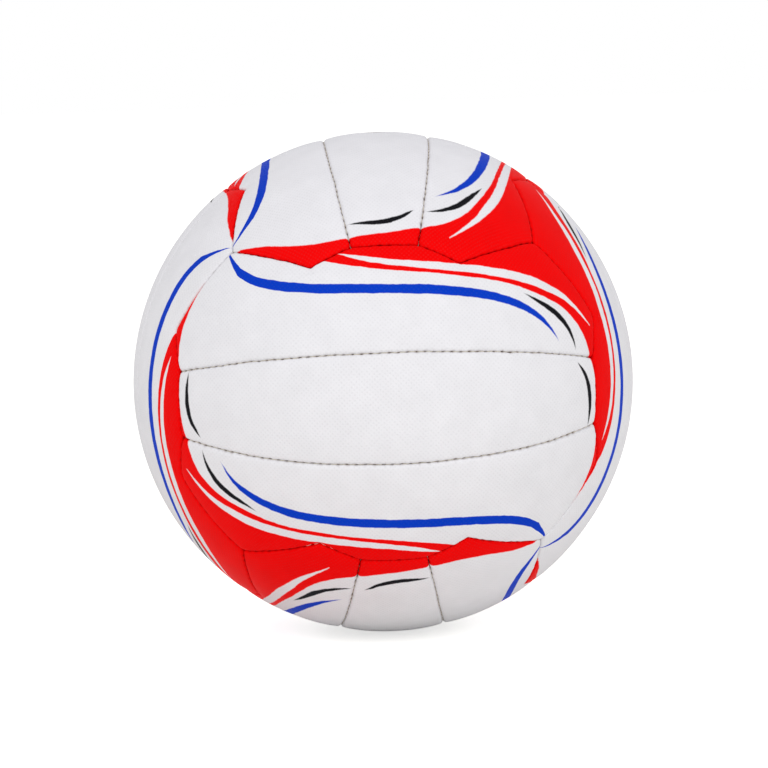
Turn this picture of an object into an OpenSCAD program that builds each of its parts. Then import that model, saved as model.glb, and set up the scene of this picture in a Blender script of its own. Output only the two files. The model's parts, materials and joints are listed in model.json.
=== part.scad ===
// Netball of eighteen stitched panels, in six groups of three, round a bladder with a valve.
// The origin is the ball's centre, +Z is up and the valve looks up along +Z.
// Each group lies on one face of a cube blown up to a ball. Its three panels run side by side,
// and its ends step over the long sides of the groups beside it.

/* [Ball] */
// Circumference round the crowns of the panels
ball_circumference = 700; // [600:1:780]

/* [Panel layout] */
// Half the width of a middle panel, as an angle at the ball's centre
middle_half_angle = 12.1; // [10.5:0.1:13.5]
// How far a group's end steps over the group beside it, as an angle
end_step_angle = 8.2; // [6:0.1:9.5]
// How far a panel's point lies from the middle of its group's end, as an angle
point_along_angle = 16.3; // [14:0.1:19]
// How far a panel's point reaches over the group beside it, as an angle
point_reach_angle = 12; // [10.5:0.1:13]

/* [Panel make-up] */
// Thickness of the grained cover sheet
cover_thickness = 1.2; // [0.8:0.05:2]
// Thickness of the cover sheet where it is turned in along a seam
turn_in_thickness = 1.2; // [0.8:0.05:2]
// Thickness of the cloth lining glued behind the cover
lining_thickness = 1.7; // [1:0.05:3]
// Glue line between the cover and its lining
glue_line = 0.1; // [0.05:0.01:0.2]
// Gap between two turned-in edges that are sewn together
seam_gap = 0.1; // [0.06:0.01:0.3]
// Radius of a cover's edge where it rolls over into the seam
edge_radius = 1.5; // [1.2:0.1:2]

/* [Sewing thread] */
// Diameter of the waxed thread
thread_diameter = 0.45; // [0.3:0.05:0.6]
// Clearance between the thread and the two rolled edges that it lies between
thread_clearance = 0.08; // [0.05:0.01:0.15]
// Length of seam left free where one thread ends beside another
thread_end_gap = 1.2; // [1:0.1:2.5]
// How far the knot that locks the thread where a seam turns stands out from the thread
knot_swell = 0.05; // [0.02:0.01:0.06]

/* [Bladder] */
// Thickness of the bladder's wall
bladder_thickness = 0.7; // [0.4:0.05:1.2]
// Gap between the linings and the bladder
bladder_gap = 0.15; // [0.1:0.01:0.4]
// Gap between pieces bonded to the bladder's inner face
bond_line = 0.05; // [0.03:0.01:0.1]
// Diameter of the patch that stiffens the bladder round the valve
patch_diameter = 40; // [34:1:50]
// Thickness of that patch
patch_thickness = 0.8; // [0.5:0.05:1.5]
// Diameter of the patch that balances the valve, on the far side
balance_diameter = 34; // [20:1:50]
// Thickness of the balance patch
balance_thickness = 1.4; // [0.5:0.05:2.5]

/* [Valve] */
// Diameter of the valve body's stem
stem_diameter = 9; // [8.5:0.1:11]
// Clearance round the stem in the panel and its lining
stem_clearance = 0.3; // [0.15:0.01:0.5]
// Depth of the valve's top below the panel's crown
valve_recess = 0.9; // [0.4:0.05:1.5]
// Diameter of the flange that bonds the valve body to the bladder
flange_diameter = 28; // [22:0.5:32]
// Thickness of that flange
flange_thickness = 1.3; // [0.8:0.05:2]
// Length of the valve body inside the bladder, below its flange
tail_length = 12; // [11:0.5:20]
// Diameter of the valve core's shaft
core_diameter = 5; // [4:0.05:5.6]
// Diameter of the valve core's head
core_head_diameter = 6.8; // [6:0.05:7.4]
// Thickness of the valve core's head
core_head_thickness = 1.6; // [1:0.05:2.5]
// Length of the valve core
core_length = 17; // [15.5:0.1:18.5]
// Radial clearance of the core in the valve body
core_clearance = 0.05; // [0.02:0.01:0.1]
// Diameter of the passage for an inflation needle
needle_diameter = 2.2; // [1.8:0.05:2.5]
// Depth of the needle's passage, from the funnel to the slit
needle_depth = 11; // [8:0.1:12]
// Diameter of the funnel's mouth
funnel_diameter = 3.6; // [3:0.05:4.5]
// Depth of the funnel
funnel_depth = 0.7; // [0.4:0.05:1.2]
// Width of the lips' slit at the foot of the passage
slit_width = 2.6; // [2:0.05:3.4]
// Opening of the slit at rest
slit_opening = 0.15; // [0.1:0.01:0.25]

/* [Hidden] */
$fn = 120;
ball_radius = ball_circumference / (2 * PI);
lining_outer_radius = ball_radius - cover_thickness - glue_line;
lining_inner_radius = lining_outer_radius - lining_thickness;
bladder_radius = lining_inner_radius - bladder_gap;
bladder_inner_radius = bladder_radius - bladder_thickness;
patch_radius = bladder_inner_radius - bond_line;
flange_radius = patch_radius - patch_thickness - bond_line;
valve_top = ball_radius - valve_recess;
valve_foot = flange_radius - flange_thickness - tail_length;

// Along a seam, u is the angle from its middle. Two groups' inner seams end at seam_along.
seam_along = atan(tan(middle_half_angle) * (cos(end_step_angle) - sin(end_step_angle)) / sqrt(2));

// The rolled edge is an arc of a circle that crosses the crown and the turned-in face at this angle
roll_lean = 20;
roll_centre = edge_radius * cos(roll_lean);
roll_width = roll_centre - edge_radius * sin(roll_lean);
thread_radius = ball_radius - roll_centre
    + sqrt(pow(edge_radius + thread_diameter / 2 + thread_clearance, 2) - pow(seam_gap / 2 + roll_centre, 2));

knot_diameter = thread_diameter + 2 * knot_swell;

// Dimple where panels meet at a point, wide and deep enough for the threads and their knots
dimple_radius = 1.5 * roll_width;
dimple_height = 0.45 * roll_width;
roll_stop = 0.2 * dimple_radius;

// Overrun that only takes a cut right through, and how far a wedge reaches, as shares of the radius
cut_overrun = edge_radius / 5;
wedge_low_share = 0.3;
wedge_high_share = 2.5;

// Each group: name, axis along its panels, axis across them, outward axis, the names of its two
// outer panels on the plus and minus side of the across axis, and of the groups past those sides
GROUPS = [
    ["front", [1, 0, 0], [0, 0, 1], [0, -1, 0], "upper", "lower", "top", "bottom"],
    ["back", [-1, 0, 0], [0, 0, 1], [0, 1, 0], "upper", "lower", "top", "bottom"],
    ["left", [0, 0, 1], [0, 1, 0], [-1, 0, 0], "rear", "fore", "back", "front"],
    ["right", [0, 0, 1], [0, -1, 0], [1, 0, 0], "fore", "rear", "front", "back"],
    ["top", [0, 1, 0], [-1, 0, 0], [0, 0, 1], "left", "right", "left", "right"],
    ["bottom", [0, 1, 0], [1, 0, 0], [0, 0, -1], "right", "left", "right", "left"]
];
PLACES = [1, 0, -1];

function panel_name(g, place) =
    str(g[0], "_", place == 0 ? "middle" : place > 0 ? g[4] : g[5]);
function border_name(g, side) = str(g[0], "_to_", side > 0 ? g[6] : g[7]);

// Directions from the ball's centre, in a group's own axes: along, across, outward
function unit(v) = v / norm(v);
function seam_axis(a, b) = unit(cross(a, b));
function side_point(u, w) = [
    sin(u),
    cos(u) * (cos(w) - sin(w)) / sqrt(2),
    cos(u) * (cos(w) + sin(w)) / sqrt(2)
];
function end_point(u, w) = let (p = side_point(u, w)) [p[2], p[0], p[1]];
function mirrored(p) = [-p[0], p[1], p[2]];
function half_turned(p) = [-p[0], -p[1], p[2]];

corner = unit([1, 1, 1]);
seam_end = end_point(seam_along, end_step_angle);
end_tip = end_point(point_along_angle, point_reach_angle);
side_tip = side_point(point_along_angle, point_reach_angle);
side_step = side_point(seam_along, end_step_angle);

// The seam along a group's long side, from one corner of the cube to the next
long_seam = [corner, side_tip, side_step, mirrored(side_step), mirrored(side_tip), mirrored(corner)];

// Outlines run anticlockwise, seen from outside the ball
middle_outline = [half_turned(seam_end), half_turned(mirrored(seam_end)), seam_end, mirrored(seam_end)];
outer_outline = concat([mirrored(seam_end), seam_end, end_tip], long_seam, [mirrored(end_tip)]);

function outline_of(place) =
    place == 0 ? middle_outline :
    place > 0 ? outer_outline : [for (p = outer_outline) half_turned(p)];

function seam_normals(outline) = [
    for (i = [0 : len(outline) - 1]) seam_axis(outline[i], outline[(i + 1) % len(outline)])
];

module turned_to(x_axis, y_axis, z_axis) {
    multmatrix([
        [x_axis[0], y_axis[0], z_axis[0], 0],
        [x_axis[1], y_axis[1], z_axis[1], 0],
        [x_axis[2], y_axis[2], z_axis[2], 0],
        [0, 0, 0, 1]
    ]) children();
}

module in_group(g) {
    turned_to(g[1], g[2], g[3]) children();
}

// A ball whose poles lie past the ends of a group's panels
module side_poled_ball(r) {
    rotate([0, 90, 0]) sphere(r = r);
}

// Everything inside an outline, with its sides set back square to the seams by inset
module wedge(outline, inset) {
    n = len(outline);
    normals = seam_normals(outline);
    shifts = [
        for (i = [0 : n - 1])
            let (a = normals[(i + n - 1) % n], b = normals[i])
                inset * (a + b) / (1 + a * b)
    ];
    heart = unit([for (p = outline) 1] * outline);
    low = wedge_low_share * ball_radius;
    high = wedge_high_share * ball_radius;
    points = concat(
        [for (i = [0 : n - 1]) low * outline[i] + shifts[i]],
        [for (i = [0 : n - 1]) high * outline[i] + shifts[i]],
        [low * heart, high * heart]
    );
    faces = concat(
        [for (i = [0 : n - 1]) [i, n + i, n + (i + 1) % n, (i + 1) % n]],
        [for (i = [0 : n - 1]) [i, (i + 1) % n, 2 * n]],
        [for (i = [0 : n - 1]) [n + (i + 1) % n, n + i, 2 * n + 1]]
    );
    polyhedron(points = points, faces = faces);
}

// Children drawn in a half plane are swept along the seam from direction a to direction b
module along_seam(a, b, overrun) {
    axis = seam_axis(a, b);
    turn = acos(a * b);
    turned_to(a, cross(axis, a), axis)
        rotate([0, 0, -overrun])
            rotate_extrude(angle = turn + 2 * overrun) children();
}

// Half of the groove's cross-section, on the side that a seam's axis points to
module roll_profile() {
    difference() {
        translate([ball_radius - 2 * roll_width, 0]) square([4 * roll_width, roll_width]);
        translate([ball_radius - roll_centre, seam_gap / 2 + roll_centre]) circle(r = edge_radius);
    }
}

// The rolls stop short of each corner, inside its dimple
module seam_rolls(outline) {
    n = len(outline);
    stop = asin(roll_stop / ball_radius);
    for (i = [0 : n - 1]) along_seam(outline[i], outline[(i + 1) % n], -stop) roll_profile();
}

module dimples(outline) {
    for (p = outline) translate((ball_radius + dimple_height) * p) sphere(r = dimple_radius);
}

module valve_hole(g, place, clearance) {
    if (g[0] == "top" && place == 0) cylinder(d = stem_diameter + 2 * clearance, h = 2 * ball_radius);
}

module cover(g, place) {
    outline = outline_of(place);
    color("whitesmoke")
        difference() {
            in_group(g) difference() {
                intersection() {
                    side_poled_ball(ball_radius);
                    wedge(outline, seam_gap / 2);
                }
                side_poled_ball(lining_inner_radius);
                intersection() {
                    side_poled_ball(ball_radius - cover_thickness);
                    wedge(outline, seam_gap / 2 + turn_in_thickness);
                }
                seam_rolls(outline);
                dimples(outline);
            }
            valve_hole(g, place, stem_clearance);
        }
}

module lining(g, place) {
    color("wheat")
        difference() {
            in_group(g) intersection() {
                difference() {
                    side_poled_ball(lining_outer_radius);
                    side_poled_ball(lining_inner_radius);
                }
                wedge(outline_of(place), seam_gap / 2 + turn_in_thickness + glue_line);
            }
            valve_hole(g, place, stem_clearance);
        }
}

module thread_profile() {
    translate([thread_radius, 0]) circle(d = thread_diameter);
}

// The two seams between a group's three panels
module panel_threads(g) {
    reach = asin(seam_end[0]) - asin(thread_end_gap / ball_radius);
    lean = atan2(seam_end[1], seam_end[2]);
    color("tan")
        in_group(g)
            for (side = [1, -1])
                rotate([-side * lean, 0, 0])
                    along_seam([-sin(reach), 0, cos(reach)], [sin(reach), 0, cos(reach)], 0) thread_profile();
}

function toward(a, b, angle) =
    a * cos(angle) + cross(seam_axis(a, b), a) * sin(angle);

// A knot stands square to the ball on the thread that comes from direction a, at direction b
module knot(a, b) {
    axis = seam_axis(a, b);
    turned_to(axis, cross(b, axis), b)
        translate([0, 0, thread_radius]) cylinder(d = knot_diameter, h = knot_diameter, center = true);
}

// The seam along a group's side on the plus or minus side of its across axis
module border_thread(g, side) {
    free = asin(thread_end_gap / ball_radius);
    last = len(long_seam) - 1;
    path = concat(
        [toward(long_seam[0], long_seam[1], free)],
        [for (i = [1 : last - 1]) long_seam[i]],
        [toward(long_seam[last], long_seam[last - 1], free)]
    );
    color("tan")
        in_group(g) rotate([0, 0, side > 0 ? 0 : 180]) {
            for (i = [0 : last - 1]) along_seam(path[i], path[i + 1], 0) thread_profile();
            for (i = [1 : last - 1]) knot(path[i - 1], path[i]);
        }
}

module bladder() {
    color("black")
        difference() {
            sphere(r = bladder_radius);
            sphere(r = bladder_inner_radius);
            cylinder(d = stem_diameter + 2 * bond_line, h = 2 * ball_radius);
        }
}

module valve_patch() {
    color("dimgray")
        difference() {
            intersection() {
                sphere(r = patch_radius);
                cylinder(d = patch_diameter, h = 2 * ball_radius);
            }
            sphere(r = patch_radius - patch_thickness);
            cylinder(d = stem_diameter + 2 * bond_line, h = 2 * ball_radius);
        }
}

module balance_patch() {
    color("dimgray")
        mirror([0, 0, 1])
            difference() {
                intersection() {
                    sphere(r = patch_radius);
                    cylinder(d = balance_diameter, h = 2 * ball_radius);
                }
                sphere(r = patch_radius - balance_thickness);
            }
}

module valve_body() {
    color("saddlebrown")
        difference() {
            union() {
                intersection() {
                    difference() {
                        sphere(r = flange_radius);
                        sphere(r = flange_radius - flange_thickness);
                    }
                    cylinder(d = flange_diameter, h = 2 * ball_radius);
                }
                translate([0, 0, valve_foot]) cylinder(d = stem_diameter, h = valve_top - valve_foot);
            }
            translate([0, 0, valve_foot - cut_overrun])
                cylinder(d = core_diameter + 2 * core_clearance, h = valve_top - valve_foot);
            translate([0, 0, valve_top - core_head_thickness])
                cylinder(d = core_head_diameter + 2 * core_clearance, h = core_head_thickness + cut_overrun);
        }
}

module valve_core() {
    color("sienna")
        difference() {
            union() {
                translate([0, 0, valve_top - core_length]) cylinder(d = core_diameter, h = core_length);
                translate([0, 0, valve_top - core_head_thickness])
                    cylinder(d = core_head_diameter, h = core_head_thickness);
            }
            translate([0, 0, valve_top - needle_depth]) cylinder(d = needle_diameter, h = core_length);
            translate([0, 0, valve_top - funnel_depth])
                cylinder(d1 = needle_diameter, d2 = funnel_diameter, h = funnel_depth);
            translate([-slit_width / 2, -slit_opening / 2, valve_top - core_length - cut_overrun])
                cube([slit_width, slit_opening, core_length - needle_depth + 2 * cut_overrun]);
        }
}

for (g = GROUPS) {
    for (place = PLACES) {
        cover(g, place);
        lining(g, place);
    }
    panel_threads(g);
    for (side = [1, -1])
        border_thread(g, side);
}
bladder();
valve_patch();
balance_patch();
valve_body();
valve_core();
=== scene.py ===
# Netball: eighteen printed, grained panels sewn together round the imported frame
import json
import math
import bpy
import numpy as np
from mathutils import Matrix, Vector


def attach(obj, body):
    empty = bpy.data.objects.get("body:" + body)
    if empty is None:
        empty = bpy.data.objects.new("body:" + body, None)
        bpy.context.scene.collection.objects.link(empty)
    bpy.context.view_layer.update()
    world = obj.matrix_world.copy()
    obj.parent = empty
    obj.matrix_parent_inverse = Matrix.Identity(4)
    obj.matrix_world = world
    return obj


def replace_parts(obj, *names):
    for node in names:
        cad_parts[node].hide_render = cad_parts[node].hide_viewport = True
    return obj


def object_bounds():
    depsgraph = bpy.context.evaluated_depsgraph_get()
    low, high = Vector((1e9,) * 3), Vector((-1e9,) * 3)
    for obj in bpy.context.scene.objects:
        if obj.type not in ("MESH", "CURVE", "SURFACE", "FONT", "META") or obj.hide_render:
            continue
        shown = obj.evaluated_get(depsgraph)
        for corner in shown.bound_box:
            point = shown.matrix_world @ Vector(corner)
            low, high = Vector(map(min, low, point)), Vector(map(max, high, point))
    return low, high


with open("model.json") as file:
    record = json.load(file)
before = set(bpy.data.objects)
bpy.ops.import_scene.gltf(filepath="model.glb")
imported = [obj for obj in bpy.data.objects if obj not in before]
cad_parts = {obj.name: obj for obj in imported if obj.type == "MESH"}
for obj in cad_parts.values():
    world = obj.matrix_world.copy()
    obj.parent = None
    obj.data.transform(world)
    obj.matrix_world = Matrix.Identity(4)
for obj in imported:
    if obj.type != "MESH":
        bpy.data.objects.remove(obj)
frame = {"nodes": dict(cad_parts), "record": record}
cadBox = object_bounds()
ballRadius = max(cadBox[1])
mm = 0.001
print("frame loaded,", len(frame["nodes"]), "nodes, ball radius", round(ballRadius / mm, 2), "mm")


# Node helpers
def addNode(tree, kind, inputs=(), **settings):
    made = tree.nodes.new(kind)
    for name, value in settings.items():
        setattr(made, name, value)
    pairs = inputs.items() if isinstance(inputs, dict) else enumerate(inputs)
    for key, value in pairs:
        if isinstance(value, bpy.types.NodeSocket):
            tree.links.new(value, made.inputs[key])
        elif value is not None:
            made.inputs[key].default_value = value
    return made


# The tree that holds the sockets among some values
def treeOf(values):
    return next(value.id_data for value in values if isinstance(value, bpy.types.NodeSocket))


def calc(operation, *values):
    return addNode(treeOf(values), "ShaderNodeMath", values, operation=operation).outputs[0]


# All the values multiplied together
def product(first, *others):
    for other in others:
        first = calc("MULTIPLY", first, other)
    return first


def calcVector(operation, *values):
    return addNode(treeOf(values), "ShaderNodeVectorMath", values, operation=operation).outputs[0]


def scaled(vector, factor):
    values = {0: vector, 3: factor}
    return addNode(vector.id_data, "ShaderNodeVectorMath", values, operation="SCALE").outputs[0]


def noise(vector, scale, detail=2.0, roughness=0.5):
    settings = {"Vector": vector, "Scale": scale, "Detail": detail, "Roughness": roughness}
    return addNode(vector.id_data, "ShaderNodeTexNoise", settings).outputs


def remap(value, low, high, newLow, newHigh):
    return addNode(value.id_data, "ShaderNodeMapRange", (value, low, high, newLow, newHigh)).outputs[0]


# 1 where the distance is 0, falling away over its reach
def fade(distance, reach, power=1.0):
    share = calc("DIVIDE", distance, reach)
    if power != 1.0:
        share = calc("POWER", share, power)
    return calc("EXPONENT", calc("MULTIPLY", share, -1.0))


# A wave from 0 to 1, with its crests at the whole numbers of a value
def crests(value, sharpness):
    turned = calc("COSINE", product(value, 2 * math.pi))
    return calc("POWER", calc("MULTIPLY_ADD", turned, 0.5, 0.5), sharpness)


def mixColour(factor, first, second, blend="MIX"):
    tree = treeOf((factor, first, second))
    colours = {0: factor, 6: first, 7: second}
    return addNode(tree, "ShaderNodeMix", colours, data_type="RGBA", blend_type=blend).outputs[2]


# A node group, its inputs as name, kind of socket and value, its outputs as name and kind
def newGroup(name, treeKind, inputs, outputs):
    tree = bpy.data.node_groups.new(name, treeKind)
    for label, kind, value in inputs:
        socket = tree.interface.new_socket(name=label, in_out="INPUT", socket_type="NodeSocket" + kind)
        if value is not None:
            socket.default_value = value
    for label, kind in outputs:
        tree.interface.new_socket(name=label, in_out="OUTPUT", socket_type="NodeSocket" + kind)
    return tree, addNode(tree, "NodeGroupInput").outputs, addNode(tree, "NodeGroupOutput").inputs


def floatInputs(values):
    return [(name, "Float", value) for name, value in values.items()]


# Puts the values out of a group, in the order of its outputs
def closeGroup(tree, out, *values):
    for value, socket in zip(values, out):
        tree.links.new(value, socket)
    return tree


# The end of a piece's tree: its geometry made real and painted
def closePiece(tree, given, out, geometry):
    real = addNode(tree, "GeometryNodeRealizeInstances", (geometry,)).outputs[0]
    painted = addNode(tree, "GeometryNodeSetMaterial", {0: real, 2: given["Material"]})
    return closeGroup(tree, out, painted.outputs[0])


def addObject(name, data):
    made = bpy.data.objects.new(name, data)
    bpy.context.scene.collection.objects.link(made)
    return made


def addMesh(name, points, faces):
    mesh = bpy.data.meshes.new(name)
    mesh.from_pydata(points, [], faces)
    return addObject(name, mesh)


# Where the seams run: the frame's own seam layout, as angles at the ball's centre
seamLayout = {
    "middleHalfAngle": 12.1,  # half a middle panel's width
    "endStep": 8.2,  # how far a group's end steps over the group beside it
    "pointAlong": 16.3,  # a panel's point, from the middle of its group's end
    "pointReach": 12.0,  # and how far it reaches over the group beside it
    "gap": 0.1 * mm,  # between two turned-in edges
    "stitchPitch": 3.8 * mm,
}

# Each group: axis along its panels, across them and outward, its outer panels, the groups past its sides
groups = {
    "front": ((1, 0, 0), (0, 0, 1), (0, -1, 0), "upper", "lower", "top", "bottom"),
    "back": ((-1, 0, 0), (0, 0, 1), (0, 1, 0), "upper", "lower", "top", "bottom"),
    "left": ((0, 0, 1), (0, 1, 0), (-1, 0, 0), "rear", "fore", "back", "front"),
    "right": ((0, 0, 1), (0, -1, 0), (1, 0, 0), "fore", "rear", "front", "back"),
    "top": ((0, 1, 0), (-1, 0, 0), (0, 0, 1), "left", "right", "left", "right"),
    "bottom": ((0, 1, 0), (1, 0, 0), (0, 0, -1), "right", "left", "right", "left"),
}


def groupAxes(name):
    return np.array(groups[name][:3], float)


def unit(vectors):
    vectors = np.asarray(vectors, float)
    return vectors / np.linalg.norm(vectors, axis=-1, keepdims=True)


def sidePoint(along, reach):
    forward, aside = math.radians(along), math.radians(reach)
    across, outward = math.cos(aside) - math.sin(aside), math.cos(aside) + math.sin(aside)
    level = math.cos(forward)
    return np.array([math.sin(forward), level * across / math.sqrt(2), level * outward / math.sqrt(2)])


def endPoint(along, reach):
    return sidePoint(along, reach)[[2, 0, 1]]


mirrored = np.array([-1, 1, 1])
halfTurned = np.array([-1, -1, 1])
stepAngle = math.radians(seamLayout["endStep"])
stepWidth = (math.cos(stepAngle) - math.sin(stepAngle)) / math.sqrt(2)
seamAlong = math.degrees(math.atan(math.tan(math.radians(seamLayout["middleHalfAngle"])) * stepWidth))
corner = unit([1, 1, 1])
seamEnd = endPoint(seamAlong, seamLayout["endStep"])
endTip = endPoint(seamLayout["pointAlong"], seamLayout["pointReach"])
sideTip = sidePoint(seamLayout["pointAlong"], seamLayout["pointReach"])
sideStep = sidePoint(seamAlong, seamLayout["endStep"])
longSeam = [corner, sideTip, sideStep, mirrored * sideStep, mirrored * sideTip, mirrored * corner]
middleOutline = [halfTurned * seamEnd, halfTurned * mirrored * seamEnd, seamEnd, mirrored * seamEnd]
outerOutline = [mirrored * seamEnd, seamEnd, endTip] + longSeam + [mirrored * endTip]


def angleBetween(a, b):
    return math.acos(min(1.0, float(np.dot(a, b))))


def stitchesOn(angle):
    return max(1, round(angle * ballRadius / seamLayout["stitchPitch"]))


# Sizes of the mesh that each panel starts from
panelMesh = {
    "spacing": 0.55 * mm,  # between points along a seam
    "sheet": 1.2 * mm,  # thickness of the cover sheet, on top and where it is turned in
    "turnDepth": 3.0 * mm,  # how deep the turned-in edge reaches
    "turnStep": 0.2 * mm,  # from its foot up to the next ring of points
    "underSteps": (2.4 * mm, 1.2 * mm),  # to the rings under the sheet, from the turned-in edge
    "ringSteps": (0, 0.05, 0.18, 0.33, 0.5, 0.75, 1.1, 1.6, 2.2, 3.0),  # mm from the seam, on top
    "firstFill": 4.0 * mm,  # from the seam to the ring that the inner mesh starts from
    "cornerPasses": 3,  # how much a panel's corners are rounded
    "fillPasses": 14,  # the same for the ring that the inner mesh starts from
    "relaxing": 16,  # rounds of evening out the inner mesh
    "softening": 1.0 * mm,  # of the distance from the outline
    "batch": 4000,  # points measured at a time
}


# One closed ring of directions, set back from an outline, with its place along the seam in stitches
def seamRing(outline, counts, inset, passes=panelMesh["cornerPasses"]):
    normals = [unit(np.cross(a, b)) for a, b in zip(outline, outline[1:] + outline[:1])]
    sine = math.sin(inset / ballRadius)
    cosine = math.cos(inset / ballRadius)
    mitres = []
    for i, point in enumerate(outline):
        both = normals[i - 1] + normals[i]
        push = sine / (1 + float(np.dot(normals[i - 1], normals[i])))
        mitres.append(point * math.sqrt(1 - push * push * float(np.dot(both, both))) + both * push)
    points, phases, sewn = [], [], 0
    for i, count in enumerate(counts):
        start, end, normal = outline[i], outline[(i + 1) % len(outline)], normals[i]
        side = np.cross(normal, start)
        nextMitre = mitres[(i + 1) % len(outline)]
        first, last = (math.atan2(float(m @ side), float(m @ start)) for m in (mitres[i], nextMitre))
        turn = first + (last - first) * np.arange(count)[:, None] / count
        points.append(cosine * (np.cos(turn) * start + np.sin(turn) * side) + sine * normal)
        whole = angleBetween(start, end)
        phases.append(sewn + turn[:, 0] / whole * stitchesOn(whole))
        sewn += stitchesOn(whole)
    ring = np.concatenate(points)
    for _ in range(passes):
        ring = unit(0.5 * ring + 0.25 * (np.roll(ring, 1, 0) + np.roll(ring, -1, 0)))
    return ring, np.concatenate(phases)


# Collects rings and patches of one panel, in its group's own axes. Its edges name the outline's steps
# at the bottom, up the right side and along the top.
class PanelTemplate:
    def __init__(self, outline, edges):
        self.outline = outline
        steps = [angleBetween(a, b) * ballRadius for a, b in zip(outline, outline[1:] + outline[:1])]
        self.counts = [4 * max(1, round(s / panelMesh["spacing"] / 4)) for s in steps]
        bottom, right, top = edges
        self.counts[bottom[0]] = sum(self.counts[i] for i in top)
        self.across = self.counts[bottom[0]]
        self.up = sum(self.counts[i] for i in right)
        self.points, self.faces, self.size = [], [], 0
        self.values = {"edgeDistance": [], "stitchPhase": [], "depth": [], "skin": []}

    def keep(self, directions, edge, phase, depth, skin):
        number = len(directions)
        self.points.append(directions)
        for name, value in zip(self.values, (edge, phase, depth, skin)):
            self.values[name].append(np.broadcast_to(np.asarray(value, float), number))
        self.size += number
        return np.arange(self.size - number, self.size)

    def ring(self, inset, depth, skin, share=1, passes=panelMesh["cornerPasses"]):
        directions, phase = seamRing(self.outline, [c // share for c in self.counts], inset, passes)
        edge = max(0.0, inset - seamLayout["gap"] / 2)
        return self.keep(directions, edge, phase, depth, skin), directions

    def band(self, first, second):
        after = np.roll(np.arange(len(first)), -1)
        self.faces += np.stack([first, first[after], second[after], second], 1).tolist()

    def halvingBand(self, full, half, flip=False):
        even, odd, after = full[0::2], full[1::2], np.roll(full, -2)[0::2]
        nextHalf = np.roll(half, -1)
        for triangle in ((even, odd, half), (odd, nextHalf, half), (odd, after, nextHalf)):
            self.faces += np.stack(triangle[::-1] if flip else triangle, 1).tolist()

    # A patch between four edges of a ring
    def patch(self, ring, directions, share, depth, skin, flip=False):
        wide, high = self.across // share, self.up // share
        size = 2 * (wide + high)
        bottom, right = np.arange(wide + 1), wide + np.arange(high + 1)
        top, left = 2 * wide + high - np.arange(wide + 1), (size - np.arange(high + 1)) % size
        across = np.linspace(0, 1, wide + 1)[None, :, None]
        upward = np.linspace(0, 1, high + 1)[:, None, None]
        blend = (1 - upward) * directions[bottom][None] + upward * directions[top][None]
        blend = blend + (1 - across) * directions[left][:, None] + across * directions[right][:, None]
        lowEnds = (1 - across) * directions[0] + across * directions[wide]
        highEnds = (1 - across) * directions[2 * wide + high] + across * directions[wide + high]
        blend = unit(blend - ((1 - upward) * lowEnds + upward * highEnds))
        for _ in range(panelMesh["relaxing"]):
            near = blend[:-2, 1:-1] + blend[2:, 1:-1] + blend[1:-1, :-2] + blend[1:-1, 2:]
            blend[1:-1, 1:-1] = unit(near)
        inside = blend[1:-1, 1:-1].reshape(-1, 3)
        grid = np.zeros((high + 1, wide + 1), int)
        grid[0], grid[-1], grid[:, 0], grid[:, -1] = ring[bottom], ring[top], ring[left], ring[right]
        grid[1:-1, 1:-1] = self.keep(inside, 1.0, 0.0, depth, skin).reshape(high - 1, wide - 1)
        quads = np.stack([grid[:-1, :-1], grid[:-1, 1:], grid[1:, 1:], grid[1:, :-1]], -1).reshape(-1, 4)
        self.faces += (quads[:, ::-1] if flip else quads).tolist()

    def build(self):
        half, deep = seamLayout["gap"] / 2, panelMesh["turnDepth"]
        under = half + panelMesh["sheet"]  # where the sheet's inner face lies, both inward and down
        farStep, nearStep = panelMesh["underSteps"]
        quarter, quarterDirs = self.ring(under + farStep, under, 0, 4)
        self.patch(quarter, quarterDirs, 4, under, 0, flip=True)
        halfRing, _ = self.ring(under + nearStep, under, 0, 2)
        self.halvingBand(halfRing, quarter, flip=True)
        loops = [self.ring(under, under, 0)[0]]
        self.halvingBand(loops[0], halfRing, flip=True)
        for inset, depth in ((under, deep), (half, deep), (half, deep - panelMesh["turnStep"])):
            loops.append(self.ring(inset, depth, 0)[0])
        for step in panelMesh["ringSteps"]:
            loops.append(self.ring(half + step * mm, 0, 1)[0])
        for first, second in zip(loops, loops[1:]):
            self.band(first, second)
        fill, fillDirs = self.ring(half + panelMesh["firstFill"], 0, 1, 2, panelMesh["fillPasses"])
        self.halvingBand(loops[-1], fill)
        self.patch(fill, fillDirs, 2, 0, 1)
        self.points = np.concatenate(self.points)
        self.values = {name: np.concatenate(parts) for name, parts in self.values.items()}
        self.addDistances()
        return self

    # Distances from the whole outline, the nearest corner and the straight seams. The first is soft, so that
    # it rounds over at the corners: the outline's pull by the sixth power, turned back into a distance.
    def addDistances(self):
        outline = seamRing(self.outline, [c // 2 for c in self.counts], 0)[0]
        spacing = np.linalg.norm(np.roll(outline, -1, 0) - outline, axis=1)
        soft = (panelMesh["softening"] / ballRadius) ** 2
        total = np.zeros(len(self.points))
        for start in range(0, len(self.points), panelMesh["batch"]):
            part = slice(start, start + panelMesh["batch"])
            square = np.maximum(2 - 2 * self.points[part] @ outline.T, 0) + soft
            total[part] = (spacing / square ** 3).sum(1)
        self.values["puffDistance"] = ballRadius * (8 / (3 * math.pi) * total) ** -0.2
        near = np.max(self.points @ np.array(self.outline).T, axis=1)
        self.values["cornerDistance"] = ballRadius * np.arccos(np.clip(near, -1, 1))
        strip = unit(np.cross(mirrored * seamEnd, seamEnd))
        nearest = np.minimum(np.abs(self.points @ strip), np.abs(self.points @ (halfTurned * strip)))
        self.values["stripDistance"] = ballRadius * np.arcsin(nearest)


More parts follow.
